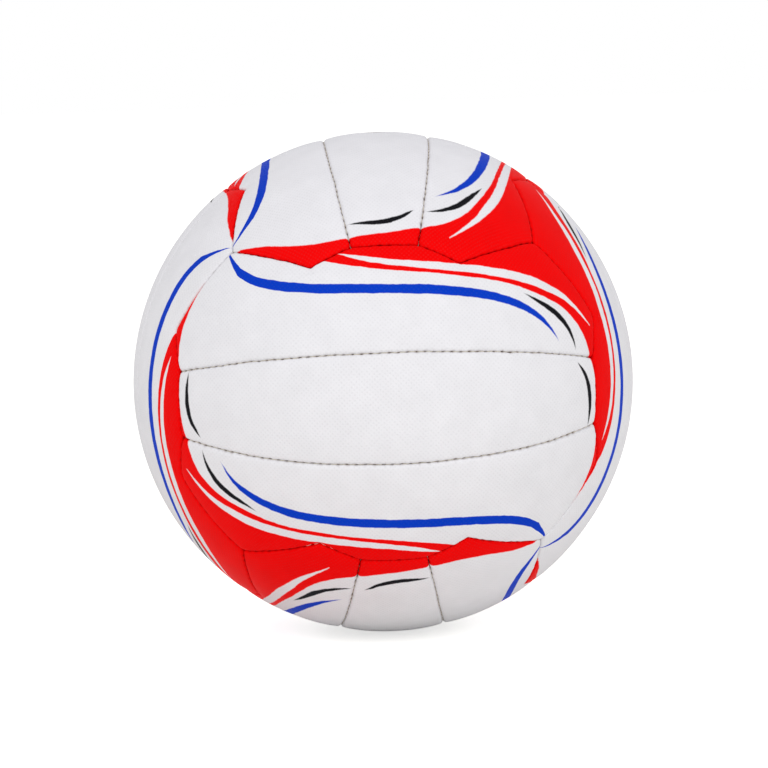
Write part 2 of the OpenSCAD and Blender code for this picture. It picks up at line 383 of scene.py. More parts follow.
middleTemplate = PanelTemplate(middleOutline, ((0,), (1,), (2,))).build()
outerTemplate = PanelTemplate(outerOutline, ((0,), (1, 2), (3, 4, 5, 6, 7))).build()
print("panel meshes laid out:", len(middleTemplate.faces), "and", len(outerTemplate.faces), "faces")


# Small sideways wander that every seam, panel and stitch shares
wanderLook = {"Reach": 0.35 * mm, "Size": 24 * mm, "Fine Reach": 0.34 * mm, "Fine Size": 3.4 * mm}


def buildWander():
    inputs = [("Position", "Vector", None)] + floatInputs(wanderLook)
    tree, given, out = newGroup("seamWander", "GeometryNodeTree", inputs, [("Position", "Vector")])
    place = moved = given["Position"]
    for reach, size in (("Reach", "Size"), ("Fine Reach", "Fine Size")):
        waves = noise(place, calc("DIVIDE", 1.0, given[size]), detail=1.0)[1]
        centred = calcVector("SUBTRACT", waves, (0.5, 0.5, 0.5))
        moved = calcVector("ADD", moved, scaled(centred, product(given[reach], 2.0)))
    length = addNode(tree, "ShaderNodeVectorMath", (place,), operation="LENGTH").outputs[1]
    return closeGroup(tree, out, scaled(calcVector("NORMALIZE", moved), length))


def wandered(position):
    place = {"Position": position}
    return addNode(position.id_data, "GeometryNodeGroup", place, node_tree=seamWander).outputs[0]


def storedValue(tree, name, kind="FLOAT"):
    return addNode(tree, "GeometryNodeInputNamedAttribute", {"Name": name}, data_type=kind).outputs[0]


stripFade = (2 * mm, 5 * mm)  # how far out a straight seam inside a group keeps its own look
panelRelief = {
    "Roll Radius": 1.5 * mm,  # where the sheet folds over into the seam
    "Edge Drop": 0.35 * mm,  # softer fall towards the seam
    "Edge Reach": 1.5 * mm,
    "Puff Height": 0.4 * mm,  # how far a panel's middle stands above its edges
    "Puff Reach": 15 * mm,
    "Pucker Depth": 0.2 * mm,  # dents where the stitches pull
    "Pucker Reach": 0.6 * mm,
    "Pucker Sharpness": 3.0,
    "Pull Scale": 160.0,  # of how evenly they pull
    "Border Share": 0.75,  # of the roll and the fall, on the seams between groups
    "Corner Dip": 0.25 * mm,
    "Corner Reach": 2.2 * mm,
    "Wave Height": 0.12 * mm,  # slow unevenness of the whole skin
    "Wave Size": 20 * mm,
    "Valve Dip": 0.35 * mm,
    "Valve Reach": 1.2 * mm,
    "Valve Radius": 0.0 * mm,  # none but on the panel with the valve
}


def buildReliefTree():
    inputs = [("Geometry", "Geometry", None)] + floatInputs(panelRelief) + [("Material", "Material", None)]
    tree, given, out = newGroup("panelRelief", "GeometryNodeTree", inputs, [("Geometry", "Geometry")])
    position = addNode(tree, "GeometryNodeInputPosition").outputs[0]
    edge = storedValue(tree, "edgeDistance")

    # The sheet rolls over into the seam, and falls off a little before it
    border = remap(storedValue(tree, "stripDistance"), *stripFade, 1.0, given["Border Share"])
    radius = product(given["Roll Radius"], border)
    short = calc("MAXIMUM", calc("SUBTRACT", radius, edge), 0.0)
    arc = calc("SUBTRACT", product(radius, radius), product(short, short))
    roll = calc("SUBTRACT", radius, calc("SQRT", calc("MAXIMUM", arc, 0.0)))
    soft = product(given["Edge Drop"], border, fade(edge, given["Edge Reach"]))

    # Air puffs up its middle, and the stitches pull dents into its edge
    low = calc("DIVIDE", storedValue(tree, "puffDistance"), given["Puff Reach"])
    low = calc("MAXIMUM", calc("SUBTRACT", 1.0, low), 0.0)
    puff = product(given["Puff Height"], low, low)
    uneven = noise(position, given["Pull Scale"], detail=1.0)[0]
    hole = crests(storedValue(tree, "stitchPhase"), given["Pucker Sharpness"])
    reach = fade(edge, given["Pucker Reach"])
    pucker = product(hole, uneven, 2.0, given["Pucker Depth"], reach)

    # It dips where the corners meet and round the valve, and waves a little all over
    dip = product(given["Corner Dip"], fade(storedValue(tree, "cornerDistance"), given["Corner Reach"], 2.0))
    wave = noise(position, calc("DIVIDE", 1.0, given["Wave Size"]), detail=2.0)[0]
    wave = product(given["Wave Height"], wave)
    flat = calcVector("MULTIPLY", position, (1.0, 1.0, 0.0))
    fromAxis = addNode(tree, "ShaderNodeVectorMath", (flat,), operation="LENGTH").outputs[1]
    rim = calc("MAXIMUM", calc("SUBTRACT", fromAxis, given["Valve Radius"]), 0.0)
    isRim = calc("GREATER_THAN", given["Valve Radius"], 0.0)
    valve = product(given["Valve Dip"], isRim, fade(rim, given["Valve Reach"]))

    drop = roll
    for part in (soft, puff, pucker, dip, wave, valve):
        drop = calc("ADD", drop, part)
    drop = product(drop, storedValue(tree, "skin"), -1.0)
    aside = wandered(position)
    place = calcVector("ADD", aside, scaled(calcVector("NORMALIZE", aside), drop))
    moved = addNode(tree, "GeometryNodeSetPosition", {"Geometry": given["Geometry"], "Position": place})
    return closePiece(tree, given, out, moved.outputs[0])


seamWander = buildWander()
reliefTree = buildReliefTree()


# Keeps what an object's modifiers make of it as its plain mesh
def bake(piece):
    bpy.context.view_layer.update()
    shape = piece.evaluated_get(bpy.context.evaluated_depsgraph_get())
    mesh, old = bpy.data.meshes.new_from_object(shape), piece.data
    piece.modifiers.clear()
    piece.data = mesh
    bpy.data.meshes.remove(old)
    mesh.name = piece.name


def runTree(piece, tree, values):
    modifier = piece.modifiers.new(tree.name, "NODES")
    modifier.node_group = tree
    sockets = {s.name: s.identifier for s in tree.interface.items_tree if s.in_out == "INPUT"}
    for label, value in values.items():
        modifier[sockets[label]] = value
    bake(piece)


def tint(red, green, blue):
    parts = [v / 255 for v in (red, green, blue)]
    linear = [p / 12.92 if p <= 0.04045 else ((p + 0.055) / 1.055) ** 2.4 for p in parts]
    return (*linear, 1.0)


# The print of one group, the same on all six. A place on a group is its angle along and across, as shares
# of span. Its ring is how far out it lies, 1 near the border, and its turn goes from 0 at one corner, along a
# side and down an end, to 1 at the opposite corner, twice round.
printLook = {
    "span": (54.0, 36.0),
    "startCorner": (-45.0, 35.26),
    "firstTurn": -0.0085,
    "spread": 0.012,  # added to a turn before its square root is taken
    "softness": 0.0025,  # of an edge
    "hookSoftness": 0.0004,
    "ragged": 0.004,  # how far an edge strays
    "raggedScale": 90.0,
    "seamRagged": 0.012,  # the same at a seam, fading out over its reach
    "seamReach": 2.0 * mm,
    "white": tint(236, 235, 240),
    "red": tint(246, 3, 4),
    "blue": tint(6, 60, 197),
    "black": tint(18, 18, 23),
}
# Each edge of a sweep runs from one turn to another, through rings at even steps of the turn's square root,
# and may go on through single places
fieldEdge = (-0.012, 0.4504,
             (1.2, 1.185, 1.172, 1.159, 1.143, 1.117, 1.081, 1.034, 0.983, 0.933, 0.897, 0.871, 0.852, 0.834,
              0.816, 0.794, 0.778, 0.777),
             (0.48, 0.789), (0.51, 0.817), (0.54, 0.856), (0.57, 0.892), (0.6, 0.921), (0.63, 0.939),
             (0.66, 0.951), (0.7, 0.969), (0.75, 0.981), (0.8, 0.991), (0.85, 1.004), (0.9, 1.008),
             (0.93, 1.014), (0.945, 1.027), (0.958, 1.045), (0.97, 1.066), (0.98, 1.088), (0.9875, 1.111),
             (0.991, 1.13))
sweeps = [
    {"ink": "red", "inner": fieldEdge},
    {"ink": "white",
     "inner": (0.15, 0.602, (0.968, 0.915, 0.884, 0.859, 0.835, 0.815, 0.801, 0.822, 0.897, 0.993)),
     "outer": (0.15, 0.602, (0.969, 0.946, 0.922, 0.902, 0.883, 0.864, 0.851, 0.868, 0.922, 0.996))},
    {"ink": "blue",
     "inner": (-0.008, 0.6, (0.924, 0.869, 0.823, 0.788, 0.762, 0.74, 0.725, 0.713, 0.704, 0.702, 0.7, 0.697,
                             0.695, 0.687, 0.68, 0.67, 0.662, 0.662, 0.682, 0.726, 0.772)),
     "outer": (-0.004, 0.6, (1.14, 0.955, 0.888, 0.848, 0.82, 0.798, 0.782, 0.771, 0.764, 0.762, 0.759,
                             0.758, 0.752, 0.746, 0.736, 0.723, 0.711, 0.706, 0.719, 0.745, 0.768)),
     "hook": ((0.8, -0.0118), (0.86, -0.0115), (0.93, -0.008), (0.957, -0.0073), (1.003, -0.0068),
              (1.03, -0.0062), (1.06, -0.0056), (1.085, -0.0048), (1.105, -0.004), (1.12, -0.002),
              (1.13, 0.01))},
    {"ink": "black",
     "inner": (0.468, 0.632, (0.758, 0.7585, 0.774, 0.8, 0.826, 0.846, 0.859)),
     "outer": (0.468, 0.632, (0.756, 0.773, 0.799, 0.827, 0.847, 0.859, 0.856))},
    {"ink": "black",
     "inner": (0.652, 0.8, (0.853, 0.87, 0.89, 0.902, 0.909, 0.912, 0.914, 0.919)),
     "outer": (0.652, 0.8, (0.849, 0.886, 0.912, 0.927, 0.933, 0.931, 0.924, 0.916))},
]

# How each group's print sits on it: slipped along and across, stretched along and across, and turned
printSlip = {
    "front": (0.004, 0.0, 0.004, -0.002, 0.0),
    "back": (0.01, -0.012, 0.0, 0.0, 0.004),
    "left": (0.02, 0.06, -0.038, 0.0, -0.012),
    "right": (-0.02, -0.07, -0.024, 0.0, 0.01),
    "top": (0.02, 0.0, -0.026, -0.01, -0.004),
    "bottom": (0.047, 0.015, -0.01, 0.0, 0.008),
}


def cornerTurn():
    span, start = printLook["span"], printLook["startCorner"]
    return math.atan2(start[1] / span[1], start[0] / span[0])


# A free line over one value, drawn through its points
def freeLine(place, points):
    made = addNode(place.id_data, "ShaderNodeFloatCurve", {1: place})
    made.mapping.use_clip = False
    curve = made.mapping.curves[0]
    while len(curve.points) < len(points):
        curve.points.new(0.5, 0.5)
    for point, (first, second) in zip(curve.points, points):
        point.location = (first, second)
        point.handle_type = "AUTO"
    made.mapping.update()
    return made.outputs[0]


def edgePoints(edge):
    first, last = (math.sqrt(turn + printLook["spread"]) for turn in edge[:2])
    points = list(zip(np.linspace(first, last, len(edge[2])).tolist(), edge[2]))
    return points + [(math.sqrt(turn + printLook["spread"]), ring) for turn, ring in edge[3:]]


def buildPrintGroup():
    inputs = [("Vector", "Vector", None), ("Ragged", "Float", printLook["ragged"])]
    inputs += [(ink.title(), "Color", printLook[ink]) for ink in ("white", "red", "blue", "black")]
    outputs = [("Color", "Color"), ("Ink", "Float")]
    tree, given, out = newGroup("sweepPrint", "ShaderNodeTree", inputs, outputs)
    along, across, _ = addNode(tree, "ShaderNodeSeparateXYZ", (given["Vector"],)).outputs
    powers = [calc("POWER", calc("ABSOLUTE", axis), 4.0) for axis in (along, across)]
    ring = calc("POWER", calc("ADD", *powers), 0.25)
    fine = noise(given["Vector"], printLook["raggedScale"], detail=3.0, roughness=0.65)[0]
    ring = calc("ADD", ring, product(calc("SUBTRACT", fine, 0.5), given["Ragged"]))
    turn = calc("DIVIDE", calc("SUBTRACT", cornerTurn(), calc("ARCTAN2", across, along)), math.pi)
    turn = calc("FRACT", calc("SUBTRACT", turn, printLook["firstTurn"] - 2))
    turn = calc("ADD", turn, printLook["firstTurn"])
    place = calc("SQRT", calc("ADD", turn, printLook["spread"]))
    soft, hookSoft = printLook["softness"], printLook["hookSoftness"]
    colour, inked = given["White"], 0.0
    for sweep in sweeps:
        past = calc("SUBTRACT", ring, freeLine(place, edgePoints(sweep["inner"])))
        mask = remap(past, -soft, soft, 0.0, 1.0)
        if "outer" in sweep:
            short = calc("SUBTRACT", freeLine(place, edgePoints(sweep["outer"])), ring)
            first, last = sweep["inner"][:2]
            within = [calc("GREATER_THAN", turn, first), calc("LESS_THAN", turn, last)]
            mask = product(mask, remap(short, -soft, soft, 0.0, 1.0), *within)
        if "hook" in sweep:
            after = calc("SUBTRACT", turn, freeLine(ring, sweep["hook"]))
            mask = product(mask, remap(after, -hookSoft, hookSoft, 0.0, 1.0))
        colour = mixColour(mask, colour, given[sweep["ink"].title()])
        level = 0.0 if sweep["ink"] == "white" else 1.0
        inked = addNode(tree, "ShaderNodeMix", {0: mask, 2: inked, 3: level}, data_type="FLOAT").outputs[0]
    return closeGroup(tree, out, colour, inked)


# Rows of small pits, set slantwise, as pressed into a grip sheet
grainLook = {
    "Pitch": 1.5 * mm,  # between pits
    "Warp": 0.45 * mm,  # how far the rows stray
    "Warp Scale": 260.0,
    "Sharpness": 1.6,  # of a pit
    "Wear Scale": 420.0,
    "Skin Scale": 2600.0,
    "Skin Share": 0.3,  # of the skin between the pits, in the height
}


def buildGrainGroup():
    inputs = [("Vector", "Vector", None)] + floatInputs(grainLook)
    outputs = [("Pit", "Float"), ("Height", "Float")]
    tree, given, out = newGroup("gripGrain", "ShaderNodeTree", inputs, outputs)
    place = given["Vector"]
    waves = calcVector("SUBTRACT", noise(place, given["Warp Scale"])[1], (0.5, 0.5, 0.5))
    warped = calcVector("ADD", place, scaled(waves, given["Warp"]))
    parts = addNode(tree, "ShaderNodeSeparateXYZ", (warped,)).outputs
    apart = product(math.sqrt(2), given["Pitch"])
    pit = 1.0
    for operation in ("ADD", "SUBTRACT"):
        rows = calc("DIVIDE", calc(operation, parts[0], parts[1]), apart)
        pit = product(pit, crests(rows, given["Sharpness"]))
    wornAndShaded = noise(place, given["Wear Scale"])[0]
    pit = product(pit, remap(wornAndShaded, 0.3, 0.6, 0.35, 1.0))
    skin = product(noise(place, given["Skin Scale"], detail=3.0)[0], given["Skin Share"])
    return closeGroup(tree, out, pit, calc("SUBTRACT", skin, pit))


# Grime and painted shade along a seam, and painted shadow in its stitch holes
grimeAndShadeLook = {"Reach": 0.12 * mm, "Hole Reach": 0.28 * mm, "Hole Sharpness": 1.6, "Patch Scale": 130.0}


def buildGrimeAndShadeGroup():
    inputs = [("Distance", "Float", 0.0), ("Phase", "Float", 0.0), ("Vector", "Vector", None)]
    outputs = [("Seam", "Float"), ("Hole", "Float")]
    tree, given, out = newGroup("seamGrimeAndShade", "ShaderNodeTree", inputs + floatInputs(grimeAndShadeLook), outputs)
    patches = noise(given["Vector"], given["Patch Scale"], detail=3.0)[0]
    # Seam is grime with painted shade beside the seam line; Hole is painted shadow at each stitch hole
    seam = product(fade(given["Distance"], given["Reach"]), remap(patches, 0.35, 0.65, 0.35, 1.0))
    hole = crests(given["Phase"], given["Hole Sharpness"])
    hole = product(hole, fade(given["Distance"], given["Hole Reach"]))
    hole = product(hole, remap(patches, 0.4, 0.6, 0.2, 1.0))
    return closeGroup(tree, out, seam, hole)


# Over-and-under threads on three crossing sets, for cloth seen from any side
weaveLook = {"Thread": 0.6 * mm, "Fuzz Scale": 900.0}


def buildWeaveGroup():
    inputs = [("Vector", "Vector", None)] + floatInputs(weaveLook)
    outputs = [("Shade", "Float"), ("Height", "Float")]
    tree, given, out = newGroup("clothWeave", "ShaderNodeTree", inputs, outputs)
    parts = addNode(tree, "ShaderNodeSeparateXYZ", (given["Vector"],)).outputs
    turns = calc("DIVIDE", math.pi, given["Thread"])
    height = product(*[calc("SINE", product(axis, turns)) for axis in parts])
    fuzz = noise(given["Vector"], given["Fuzz Scale"], detail=3.0)[0]
    return closeGroup(tree, out, remap(calc("ADD", height, fuzz), -0.5, 1.5, 0.75, 1.05), height)


# Cloudy, slightly dusty rubber; its fine marks are so many times smaller than its clouds
rubberLook = {"Scale": 90.0, "Fineness": 14.0, "Dust": 0.25}


def buildRubberGroup():
    inputs = [("Vector", "Vector", None)] + floatInputs(rubberLook)
    outputs = [("Shade", "Float"), ("Rough", "Float"), ("Height", "Float")]
    tree, given, out = newGroup("rubberSkin", "ShaderNodeTree", inputs, outputs)
    cloud = noise(given["Vector"], given["Scale"], detail=4.0)[0]
    fine = noise(given["Vector"], product(given["Scale"], given["Fineness"]), detail=3.0)[0]
    dusty = product(remap(cloud, 0.45, 0.7, 0.0, 1.0), given["Dust"])
    shade = calc("ADD", remap(fine, 0.3, 0.7, 0.85, 1.1), dusty)
    return closeGroup(tree, out, shade, remap(cloud, 0.3, 0.7, 0.42, 0.7), fine)


def newMaterial(name):
    material = bpy.data.materials.new(name)
    material.use_nodes = True
    tree = material.node_tree
    shader = tree.nodes["Principled BSDF"]
    return material, tree, shader


def useGroup(tree, group, **inputs):
    return addNode(tree, "ShaderNodeGroup", inputs, node_tree=group).outputs


def shaded(colour, shade):
    grey = addNode(shade.id_data, "ShaderNodeCombineColor", (shade, shade, shade)).outputs[0]
    return mixColour(1.0, colour, grey, "MULTIPLY")


# Gives a material its colour, roughness and bumps
def finishMaterial(tree, shader, colour, rough, height, depth):
    bumps = addNode(tree, "ShaderNodeBump", {"Strength": 1.0, "Distance": depth, "Height": height}).outputs[0]
    for value, name in ((colour, "Base Color"), (rough, "Roughness"), (bumps, "Normal")):
        tree.links.new(value, shader.inputs[name])


# A value that the mesh carries
def meshValue(tree, name):
    return addNode(tree, "ShaderNodeAttribute", attribute_name=name).outputs["Fac"]


coverLook = {
    "grainDepth": 0.07 * mm,
    "pitShade": 0.075,
    "pitRough": 0.12,
    "mottle": 0.05,
    "mottleScale": 70.0,
    # grime and painted shade in the seam line
    "grimeAndShade": tint(190, 184, 170),
    # painted shadow in the stitch holes
    "holeShadow": tint(140, 112, 88),
    "borderShare": 0.35,  # of the grime and painted shade on seams between groups
    "bareRough": 0.6,
    "inkRough": 0.52,
    "specular": 0.02,
    "thinInk": 0.015,  # how far the pits lighten the ink
}


def coverMaterial():
    material, tree, shader = newMaterial("grip_cover")
    printPlace = addNode(tree, "ShaderNodeUVMap", uv_map="printMap").outputs[0]
    grainPlace = addNode(tree, "ShaderNodeUVMap", uv_map="grainMap").outputs[0]
    edge = meshValue(tree, "edgeDistance")
    ragged = remap(edge, 0.0, printLook["seamReach"], printLook["seamRagged"], printLook["ragged"])
    ink = useGroup(tree, printGroup, Vector=printPlace, Ragged=ragged)
    grain = useGroup(tree, grainGroup, Vector=grainPlace)
    cloud = noise(grainPlace, coverLook["mottleScale"], detail=4.0)[0]
    shade = calc("SUBTRACT", 1.0, product(grain["Pit"], coverLook["pitShade"]))
    shade = product(shade, remap(cloud, 0.3, 0.7, 1 - coverLook["mottle"], 1.0))
    thin = product(grain["Pit"], ink["Ink"], coverLook["thinInk"])
    colour = shaded(mixColour(thin, ink["Color"], printLook["white"]), shade)
    border = remap(meshValue(tree, "stripDistance"), *stripFade, 1.0, coverLook["borderShare"])
    share = calc("MAXIMUM", border, ink["Ink"])
    phase = meshValue(tree, "stitchPhase")
    grimeAndShade = useGroup(tree, grimeAndShadeGroup, Distance=edge, Phase=phase, Vector=grainPlace)
    # Grime and painted shade along the seam, and painted shadow in the stitch holes, darken the colour
    for part, darkening in (("Seam", "grimeAndShade"), ("Hole", "holeShadow")):
        colour = mixColour(product(grimeAndShade[part], share), colour, coverLook[darkening], "MULTIPLY")
    rough = remap(ink["Ink"], 0.0, 1.0, coverLook["bareRough"], coverLook["inkRough"])
    rough = calc("ADD", rough, product(grain["Pit"], coverLook["pitRough"]))
    shader.inputs["Specular IOR Level"].default_value = coverLook["specular"]
    finishMaterial(tree, shader, colour, rough, grain["Height"], coverLook["grainDepth"])
    return material


def rubberMaterial(name, colour, scale=rubberLook["Scale"], dust=rubberLook["Dust"], depth=0.03 * mm):
    material, tree, shader = newMaterial(name)
    place = addNode(tree, "ShaderNodeTexCoord").outputs["Object"]
    skin = useGroup(tree, rubberGroup, Vector=place, Scale=scale, Dust=dust)
    colour = shaded(colour, skin["Shade"])
    finishMaterial(tree, shader, colour, skin["Rough"], skin["Height"], depth)
    return material


liningLook = {"cloth": tint(222, 212, 188), "rough": (0.95, 0.8), "depth": 0.08 * mm}


def liningMaterial():
    material, tree, shader = newMaterial("cloth_lining")
    place = addNode(tree, "ShaderNodeTexCoord").outputs["Object"]
    weave = useGroup(tree, weaveGroup, Vector=place)
    colour = shaded(liningLook["cloth"], weave["Shade"])
    rough = remap(weave["Height"], -1.0, 1.0, *liningLook["rough"])
    finishMaterial(tree, shader, colour, rough, weave["Height"], liningLook["depth"])
    return material


threadLook = {
    "beige": tint(216, 210, 196),
    "brown": tint(128, 96, 68),  # where the wax has picked up dirt, and painted shade at a stitch's ends, where they dive into the holes
    "rough": (0.5, 0.75),
    "waxScale": 500.0,
    "fibreScale": 4000.0,
    "fibreDepth": 0.05 * mm,
}


def threadMaterial():
    material, tree, shader = newMaterial("waxed_thread")
    place = addNode(tree, "ShaderNodeTexCoord").outputs["Object"]
    # Darker towards the ends: painted shade where the stitch dives into its hole; darker in patches: dirt on
    # the wax
    ends = calc("ABSOLUTE", calc("MULTIPLY_ADD", meshValue(tree, "alongStitch"), 2.0, -1.0))
    wax = noise(place, threadLook["waxScale"], detail=3.0)[0]
    wornAndShaded = calc("ADD", remap(ends, 0.55, 1.0, 0.0, 0.8), remap(wax, 0.45, 0.75, 0.0, 0.5))
    wornAndShaded = calc("MINIMUM", wornAndShaded, 1.0)
    colour = mixColour(wornAndShaded, threadLook["beige"], threadLook["brown"])
    rough = remap(wax, 0.3, 0.7, *threadLook["rough"])
    fibres = noise(place, threadLook["fibreScale"], detail=2.0)[0]
    finishMaterial(tree, shader, colour, rough, fibres, threadLook["fibreDepth"])
    return material


printGroup, grainGroup, grimeAndShadeGroup = buildPrintGroup(), buildGrainGroup(), buildGrimeAndShadeGroup()
weaveGroup, rubberGroup = buildWeaveGroup(), buildRubberGroup()
cover, thread, lining = coverMaterial(), threadMaterial(), liningMaterial()
nodeLooks = {
    "lining": lining,
    "bladder": rubberMaterial("bladder_rubber", tint(38, 36, 36)),
    "patch": rubberMaterial("patch_rubber", tint(92, 88, 84), 160.0, 0.4),
    "valve": rubberMaterial("valve_rubber", tint(58, 44, 36), 240.0, 0.3),
    "core": rubberMaterial("core_rubber", tint(84, 60, 44), 240.0, 0.2),
}
for row in frame["record"]["subparts"]:
    look = nodeLooks.get(row["material_slot"])
    if look:
        for place in frame["nodes"][row["node"]].material_slots:
            place.material = look
print("materials made")


# Cover panels
valveHole = {"diameter": 9.6 * mm, "low": 90 * mm, "high": 130 * mm, "sides": 96}


# The place of each direction on its group's print
def printMap(group, directions):
    slipAlong, slipAcross, growAlong, growAcross, turn = printSlip[group]
    along = np.degrees(np.arctan2(directions[:, 0], directions[:, 2])) / printLook["span"][0] - slipAlong
    across = np.degrees(np.arcsin(np.clip(directions[:, 1], -1, 1))) / printLook["span"][1] - slipAcross
    turned = [(along + turn * across) / (1 + growAlong), (across - turn * along) / (1 + growAcross)]
    return np.stack(turned, 1)


# The place of each direction on a sheet that is smoothed over its group
def grainMap(directions):
    angle = np.arccos(np.clip(directions[:, 2], -1, 1))
    aside = np.maximum(np.linalg.norm(directions[:, :2], axis=1), 1e-9)
    return directions[:, :2] / aside[:, None] * (angle * ballRadius)[:, None]


def addMap(mesh, name, values):
    corners = np.zeros(len(mesh.loops), np.int32)
    mesh.loops.foreach_get("vertex_index", corners)
    mesh.uv_layers.new(name=name).data.foreach_set("uv", values[corners].astype(np.float32).ravel())


def addAttribute(mesh, name, values, kind="FLOAT"):
    field = "vector" if kind == "FLOAT_VECTOR" else "value"
    stored = mesh.attributes.new(name, kind, "POINT")
    stored.data.foreach_set(field, np.asarray(values, np.float32).ravel())


def cutValveHole(piece):
    low, high = valveHole["low"], valveHole["high"]
    turns = np.linspace(0, 2 * math.pi, valveHole["sides"], endpoint=False)
    circle = np.stack([np.cos(turns), np.sin(turns)], 1) * valveHole["diameter"] / 2
    points = [(x, y, z) for z in (low, high) for x, y in circle]
    n = len(turns)
    faces = [tuple(range(n))[::-1], tuple(range(n, 2 * n))]
    faces += [(i, (i + 1) % n, n + (i + 1) % n, n + i) for i in range(n)]
    drill = addMesh("valve_drill", points, faces)
    cut = piece.modifiers.new("valve_hole", "BOOLEAN")
    cut.object = drill
    cut.solver = "EXACT"
    bake(piece)
    bpy.data.objects.remove(drill)


def coverPanel(group, panel, template, flip):
    directions = template.points * halfTurned if flip else template.points
    values = template.values
    places = (directions @ groupAxes(group)) * (ballRadius - values["depth"])[:, None]
    piece = addMesh(f"panel_{group}_{panel}", places.tolist(), template.faces)
    for name in ("edgeDistance", "puffDistance", "stitchPhase", "skin", "cornerDistance", "stripDistance"):
        addAttribute(piece.data, name, values[name])
    addMap(piece.data, "printMap", printMap(group, directions))
    addMap(piece.data, "grainMap", grainMap(directions))
    piece.data.shade_smooth()
    isTop = group == "top" and panel == "middle"
    settings = {**panelRelief, "Material": cover}
    settings["Valve Radius"] = valveHole["diameter"] / 2 if isTop else 0.0
    runTree(piece, reliefTree, settings)
    if isTop:
        cutValveHole(piece)
    return piece


for group, row in groups.items():
    panels = ((row[3], outerTemplate, False), ("middle", middleTemplate, False),
              (row[4], outerTemplate, True))
    for panel, template, flip in panels:
        piece = coverPanel(group, panel, template, flip)
        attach(piece, "ball")
        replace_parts(piece, f"cover_{group}_{panel}")
print("cover panels made")


# Stitches: short lengths of waxed thread that dive between the turned-in edges
stitchLook = {
    "Thread Diameter": 0.36 * mm,
    "Stitch Share": 0.86,  # of the pitch that shows
    "Shortest": 0.9,  # a stitch's length may vary between these shares
    "Longest": 1.06,
    "Dive": 0.5 * mm,  # how far a stitch's ends go down
    "Slant": 0.08,  # how much a stitch may lean across the seam
    "Usual Slant": 0.6,  # the share of it that all the stitches have
    "Lay Depth": 1.6 * mm,  # of the thread's middle below the ball's crown
    "Depth Spread": 0.08 * mm,
    "Slack Rise": 0.75 * mm,  # of stitches between groups where the sewing is loose, on red print
    "Slack Scale": 45.0,
}
stitchShape = {"handleReach": 0.36, "handleRise": 0.33, "steps": 8, "sides": 6}
buriedDepth = {
    "panels": 1.0 * mm,  # extra depth of a stitch inside a group, beside red print
    "border": 0.35 * mm,  # of one between groups
    "red": 0.3 * mm,  # and of one there beside red print
}


def buildStitchTree():
    inputs = [("Geometry", "Geometry", None)] + floatInputs(stitchLook)
    inputs += [("Seed", "Int", 4), ("Material", "Material", None)]
    tree, given, out = newGroup("seamStitches", "GeometryNodeTree", inputs, [("Geometry", "Geometry")])

    def random(low, high, offset):
        limits = {2: low, 3: high, 8: calc("ADD", given["Seed"], offset)}
        return addNode(tree, "FunctionNodeRandomValue", limits, data_type="FLOAT").outputs[1]

    def eitherWay(limit, offset):
        return random(calc("MULTIPLY", limit, -1.0), limit, offset)

    # One stitch, a metre long, that is set on every point and scaled to its length
    dive = calc("MULTIPLY", given["Dive"], -1.0)
    rise = calc("MULTIPLY", given["Dive"], stitchShape["handleRise"])
    reach = stitchShape["handleReach"]
    ends = [addNode(tree, "ShaderNodeCombineXYZ", (x, 0.0, dive)).outputs[0] for x in (-0.5, 0.5)]
    handles = [addNode(tree, "ShaderNodeCombineXYZ", (x, 0.0, rise)).outputs[0] for x in (-reach, reach)]
    bend = {"Resolution": stitchShape["steps"], "Start": ends[0], "Start Handle": handles[0],
            "End Handle": handles[1], "End": ends[1]}
    line = addNode(tree, "GeometryNodeCurvePrimitiveBezierSegment", bend).outputs[0]
    along = addNode(tree, "GeometryNodeSplineParameter").outputs[0]
    marked = {"Geometry": line, "Name": "alongStitch", "Value": along}
    marked = addNode(tree, "GeometryNodeStoreNamedAttribute", marked, data_type="FLOAT", domain="POINT")
    profile = {"Resolution": stitchShape["sides"], "Radius": product(given["Thread Diameter"], 0.5)}
    ring = addNode(tree, "GeometryNodeCurvePrimitiveCircle", profile).outputs[0]
    tube = {"Curve": marked.outputs[0], "Profile Curve": ring, "Fill Caps": True}
    stitch = addNode(tree, "GeometryNodeCurveToMesh", tube).outputs[0]
    stitch = addNode(tree, "GeometryNodeSetShadeSmooth", (stitch,)).outputs[0]

    # How deep each one lies
    position = addNode(tree, "GeometryNodeInputPosition").outputs[0]
    middle = wandered(position)
    outward = calcVector("NORMALIZE", middle)
    slack = remap(noise(position, given["Slack Scale"], detail=1.0)[0], 0.6, 0.66, 0.0, 1.0)
    rise = product(given["Slack Rise"], storedValue(tree, "loose"), slack)
    depth = calc("ADD", given["Lay Depth"], storedValue(tree, "buried"))
    depth = calc("ADD", calc("SUBTRACT", depth, rise), eitherWay(given["Depth Spread"], 1))
    place = calcVector("SUBTRACT", middle, scaled(outward, depth))
    moved = {"Geometry": given["Geometry"], "Position": place}
    points = addNode(tree, "GeometryNodeSetPosition", moved).outputs[0]

    # How it is turned and how long it is
    direction = storedValue(tree, "seamDirection", "FLOAT_VECTOR")
    usual = calc("MULTIPLY", given["Slant"], given["Usual Slant"])
    slant = calc("ADD", eitherWay(given["Slant"], 2), usual)
    aside = scaled(calcVector("CROSS_PRODUCT", outward, direction), slant)
    axes = {"Primary Axis": outward, "Secondary Axis": calcVector("ADD", direction, aside)}
    turned = addNode(tree, "FunctionNodeAxesToRotation", axes, primary_axis="Z", secondary_axis="X")
    length = product(storedValue(tree, "stitchLength"), given["Stitch Share"])
    length = product(length, random(given["Shortest"], given["Longest"], 3))
    size = addNode(tree, "ShaderNodeCombineXYZ", (length, 1.0, 1.0)).outputs[0]
    row = {"Points": points, "Instance": stitch, "Rotation": turned.outputs[0], "Scale": size}
    return closePiece(tree, given, out, addNode(tree, "GeometryNodeInstanceOnPoints", row).outputs[0])


stitchTree = buildStitchTree()


